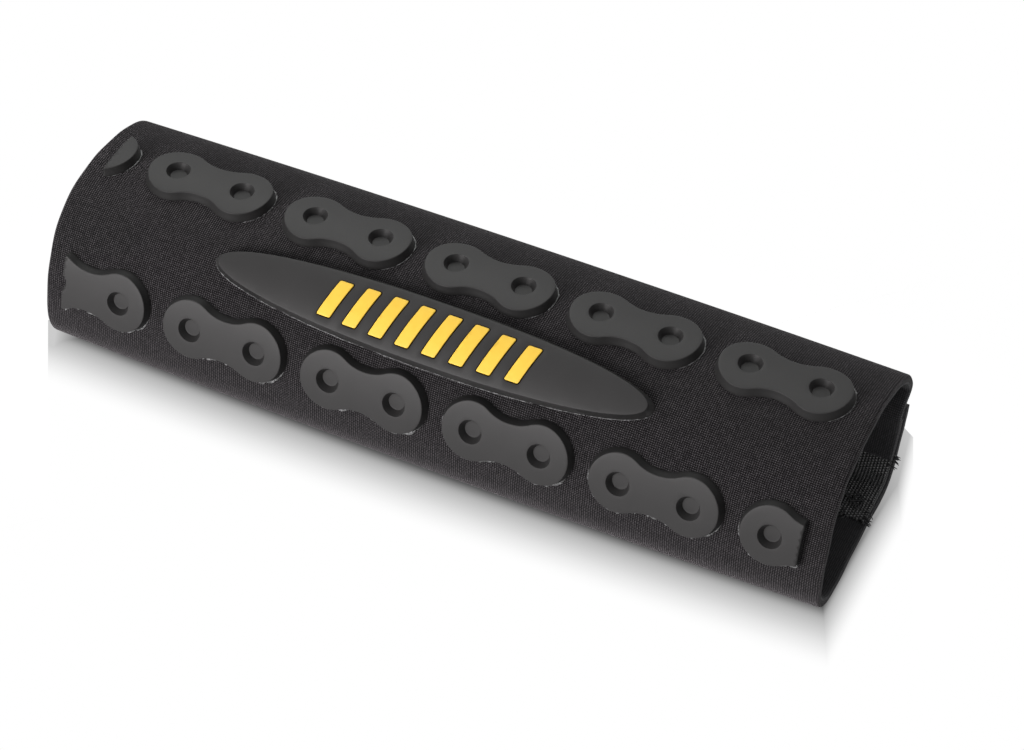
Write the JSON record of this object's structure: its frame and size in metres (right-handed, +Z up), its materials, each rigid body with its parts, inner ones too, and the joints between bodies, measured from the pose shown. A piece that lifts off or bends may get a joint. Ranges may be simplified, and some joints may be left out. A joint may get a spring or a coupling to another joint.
{
  "type": "bicycle frame protector sleeve",
  "caption": "Neoprene sleeve that wraps round a bicycle frame tube, with chain-link rubber pads and a lens-shaped pad, closed by hook and loop tape.",
  "frame": {"origin": "on the surface that the sleeve lies on, under the middle of its length and depth", "axes": "+X along the sleeve towards the end that the picture looks into, +Y from the padded front to the closure at the back, +Z up"},
  "size_m": [0.25, 0.0742, 0.0554],
  "materials": {
    "jersey_fabric": "knitted jersey, matt",
    "pad_rubber": "moulded, satin matt",
    "yellow_rubber": "moulded, satin matt",
    "tape": "woven tape, matt"
  },
  "bodies": {
    "root": {"neoprene_sheet": "jersey_fabric", "hook_tape": "tape", "loop_tape": "tape", "link_pad_upper_cut_left": "pad_rubber", "link_pad_upper_1": "pad_rubber", "link_pad_upper_2": "pad_rubber", "link_pad_upper_3": "pad_rubber", "link_pad_upper_4": "pad_rubber", "link_pad_upper_5": "pad_rubber", "link_pad_lower_cut_left": "pad_rubber", "link_pad_lower_1": "pad_rubber", "link_pad_lower_2": "pad_rubber", "link_pad_lower_3": "pad_rubber", "link_pad_lower_4": "pad_rubber", "link_pad_lower_cut_right": "pad_rubber", "centre_lens_pad": "pad_rubber", "inlay_bar_1": "yellow_rubber", "inlay_bar_2": "yellow_rubber", "inlay_bar_3": "yellow_rubber", "inlay_bar_4": "yellow_rubber", "inlay_bar_5": "yellow_rubber", "inlay_bar_6": "yellow_rubber", "inlay_bar_7": "yellow_rubber", "inlay_bar_8": "yellow_rubber"}
  },
  "joints": []
}
